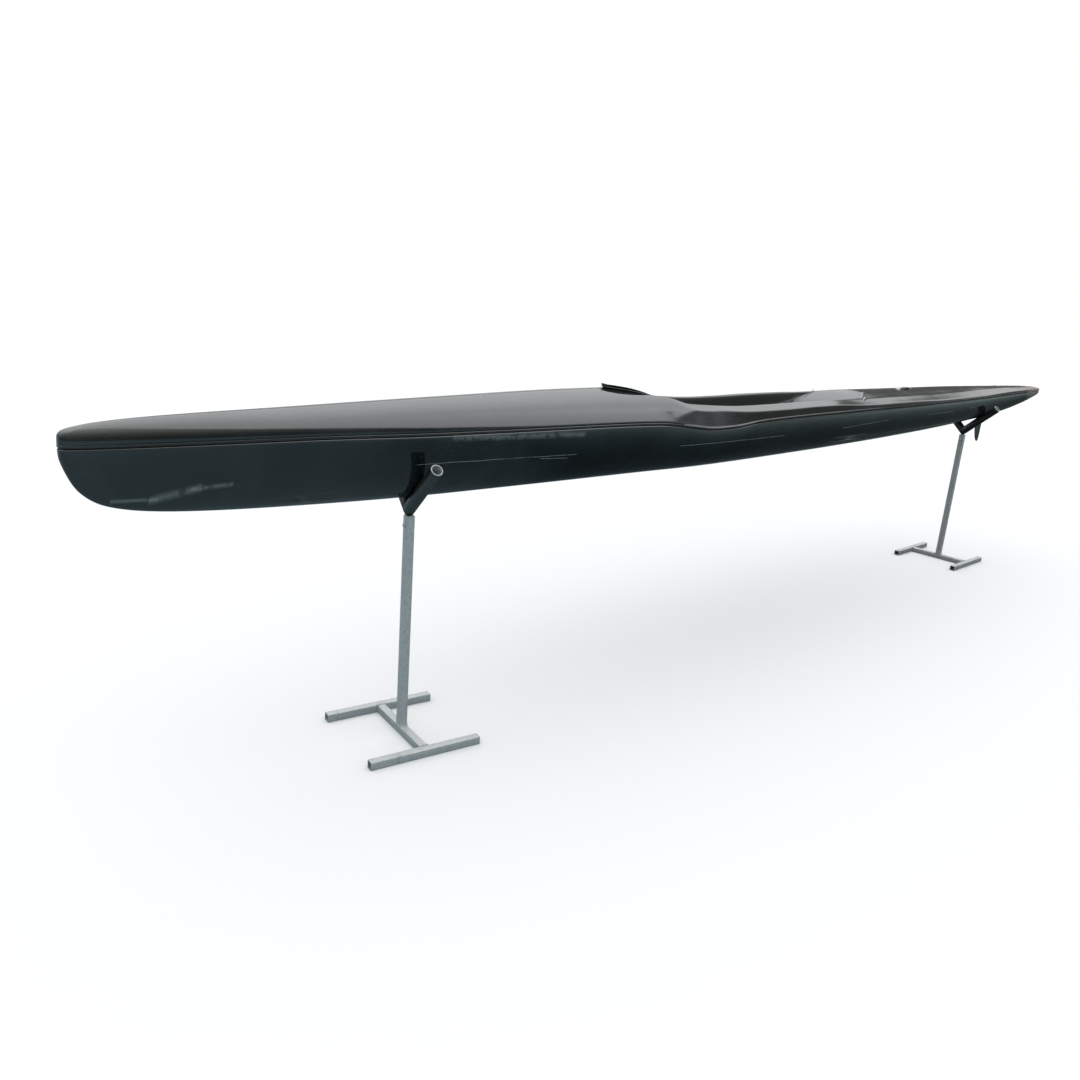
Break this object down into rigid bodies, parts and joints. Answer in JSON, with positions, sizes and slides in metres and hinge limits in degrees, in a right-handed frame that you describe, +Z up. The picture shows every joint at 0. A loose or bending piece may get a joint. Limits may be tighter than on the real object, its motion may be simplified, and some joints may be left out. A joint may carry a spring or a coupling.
{
  "type": "surfski on two trestle stands",
  "caption": "Long narrow decked sit-on-top racing kayak with an open cockpit and an under-stern rudder, resting in the padded V arms of two square-tube trestle stands.",
  "frame": {"origin": "on the floor, under the middle of the boat's length", "axes": "+X along the boat from bow to stern, +Z up, and -Y is the boat's left (port) side, which the stands' pieces call left"},
  "size_m": [6.4, 0.4606, 1.2182],
  "materials": {
    "black_gelcoat": "black gelcoat over laminate, polished",
    "black_fitting": "moulded black plastic",
    "webbing": "black webbing",
    "black_sleeve": "black rubber sleeve",
    "galvanised_tube": "zinc coated square tube, dull silver",
    "plain_steel": "bright steel"
  },
  "bodies": {
    "boat_and_stands": {"hull": "black_gelcoat", "deck": "black_gelcoat", "splash_deflector": "black_gelcoat", "drain_plug": "black_fitting", "aft_handle": "black_fitting", "eyelet_left": "plain_steel", "eyelet_right": "plain_steel", "foot_rail_left": "plain_steel", "foot_rail_right": "plain_steel", "footplate": "black_fitting", "pedal_left": "black_fitting", "pedal_right": "black_fitting", "foot_strap": "webbing", "bailer": "black_fitting", "bow_stand_left_foot": "galvanised_tube", "bow_stand_right_foot": "galvanised_tube", "bow_stand_cross_bar": "galvanised_tube", "bow_stand_post": "galvanised_tube", "bow_stand_stem": "plain_steel", "bow_stand_bolt": "plain_steel", "bow_stand_left_arm": "galvanised_tube", "bow_stand_right_arm": "galvanised_tube", "bow_stand_left_sleeve": "black_sleeve", "bow_stand_right_sleeve": "black_sleeve", "stern_stand_left_foot": "galvanised_tube", "stern_stand_right_foot": "galvanised_tube", "stern_stand_cross_bar": "galvanised_tube", "stern_stand_post": "galvanised_tube", "stern_stand_stem": "plain_steel", "stern_stand_bolt": "plain_steel", "stern_stand_left_arm": "galvanised_tube", "stern_stand_right_arm": "galvanised_tube", "stern_stand_left_sleeve": "black_sleeve", "stern_stand_right_sleeve": "black_sleeve"},
    "rudder": {"rudder_blade": "black_gelcoat", "rudder_stock": "plain_steel"}
  },
  "joints": [
    {"name": "rudder_swing", "type": "hinge", "parent": "boat_and_stands", "child": "rudder", "pos_m": [2.325, 0, 0.94], "axis": [0, 0, 1], "range_deg": [-40, 40]}
  ]
}
